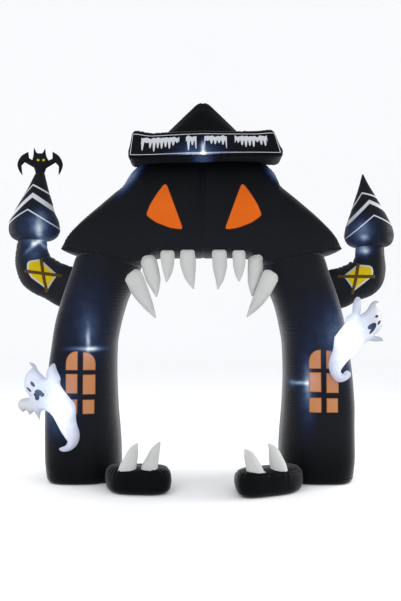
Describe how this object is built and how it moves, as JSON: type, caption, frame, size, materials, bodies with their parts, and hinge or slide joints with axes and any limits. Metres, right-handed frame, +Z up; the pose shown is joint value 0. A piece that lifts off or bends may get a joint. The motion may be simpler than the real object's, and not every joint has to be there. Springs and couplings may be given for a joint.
{
  "type": "inflatable arch",
  "caption": "Air-filled fabric arch in the form of a haunted house, with a toothed mouth as the walk-through, side turrets, a bat, ghosts and a blank sign.",
  "frame": {"origin": "on the ground under the middle of the arch", "axes": "+Z up, the front faces -Y, +X to the right when the front is looked at"},
  "size_m": [3.0824, 1.0331, 3.01],
  "materials": {
    "black_fabric": "matt woven polyester, air-filled, slightly see-through to light inside",
    "light_grey_fabric": "matt woven polyester, stuffed flat",
    "white_fabric": "matt woven polyester, stuffed flat",
    "orange_fabric": "matt woven polyester patch, stitched edge",
    "pane_fabric": "matt woven polyester patch, stitched edge",
    "yellow_fabric": "matt woven polyester patch, stitched edge",
    "brown_fabric": "matt woven polyester strip"
  },
  "bodies": {
    "root": {"arm_cross_left": "brown_fabric", "arm_cross_right": "brown_fabric", "arm_left": "black_fabric", "arm_right": "black_fabric", "arm_window_left": "yellow_fabric", "arm_window_right": "yellow_fabric", "bat": "black_fabric", "cone_left": "black_fabric", "cone_right": "black_fabric", "eye_left": "orange_fabric", "eye_right": "orange_fabric", "fang_lower_1": "light_grey_fabric", "fang_lower_2": "light_grey_fabric", "fang_lower_3": "light_grey_fabric", "fang_lower_4": "light_grey_fabric", "fang_upper_1": "light_grey_fabric", "fang_upper_2": "light_grey_fabric", "fang_upper_3": "light_grey_fabric", "fang_upper_4": "light_grey_fabric", "fang_upper_5": "light_grey_fabric", "fang_upper_6": "light_grey_fabric", "fang_upper_7": "light_grey_fabric", "fang_upper_8": "light_grey_fabric", "foot_left": "black_fabric", "foot_right": "black_fabric", "ghost_left": "white_fabric", "ghost_right": "white_fabric", "leg_left": "black_fabric", "leg_right": "black_fabric", "pane_left_1": "pane_fabric", "pane_left_2": "pane_fabric", "pane_left_3": "pane_fabric", "pane_left_4": "pane_fabric", "pane_left_5": "pane_fabric", "pane_left_6": "pane_fabric", "pane_right_1": "pane_fabric", "pane_right_2": "pane_fabric", "pane_right_3": "pane_fabric", "pane_right_4": "pane_fabric", "pane_right_5": "pane_fabric", "pane_right_6": "pane_fabric", "roof": "black_fabric", "sign_box": "black_fabric"}
  },
  "joints": []
}
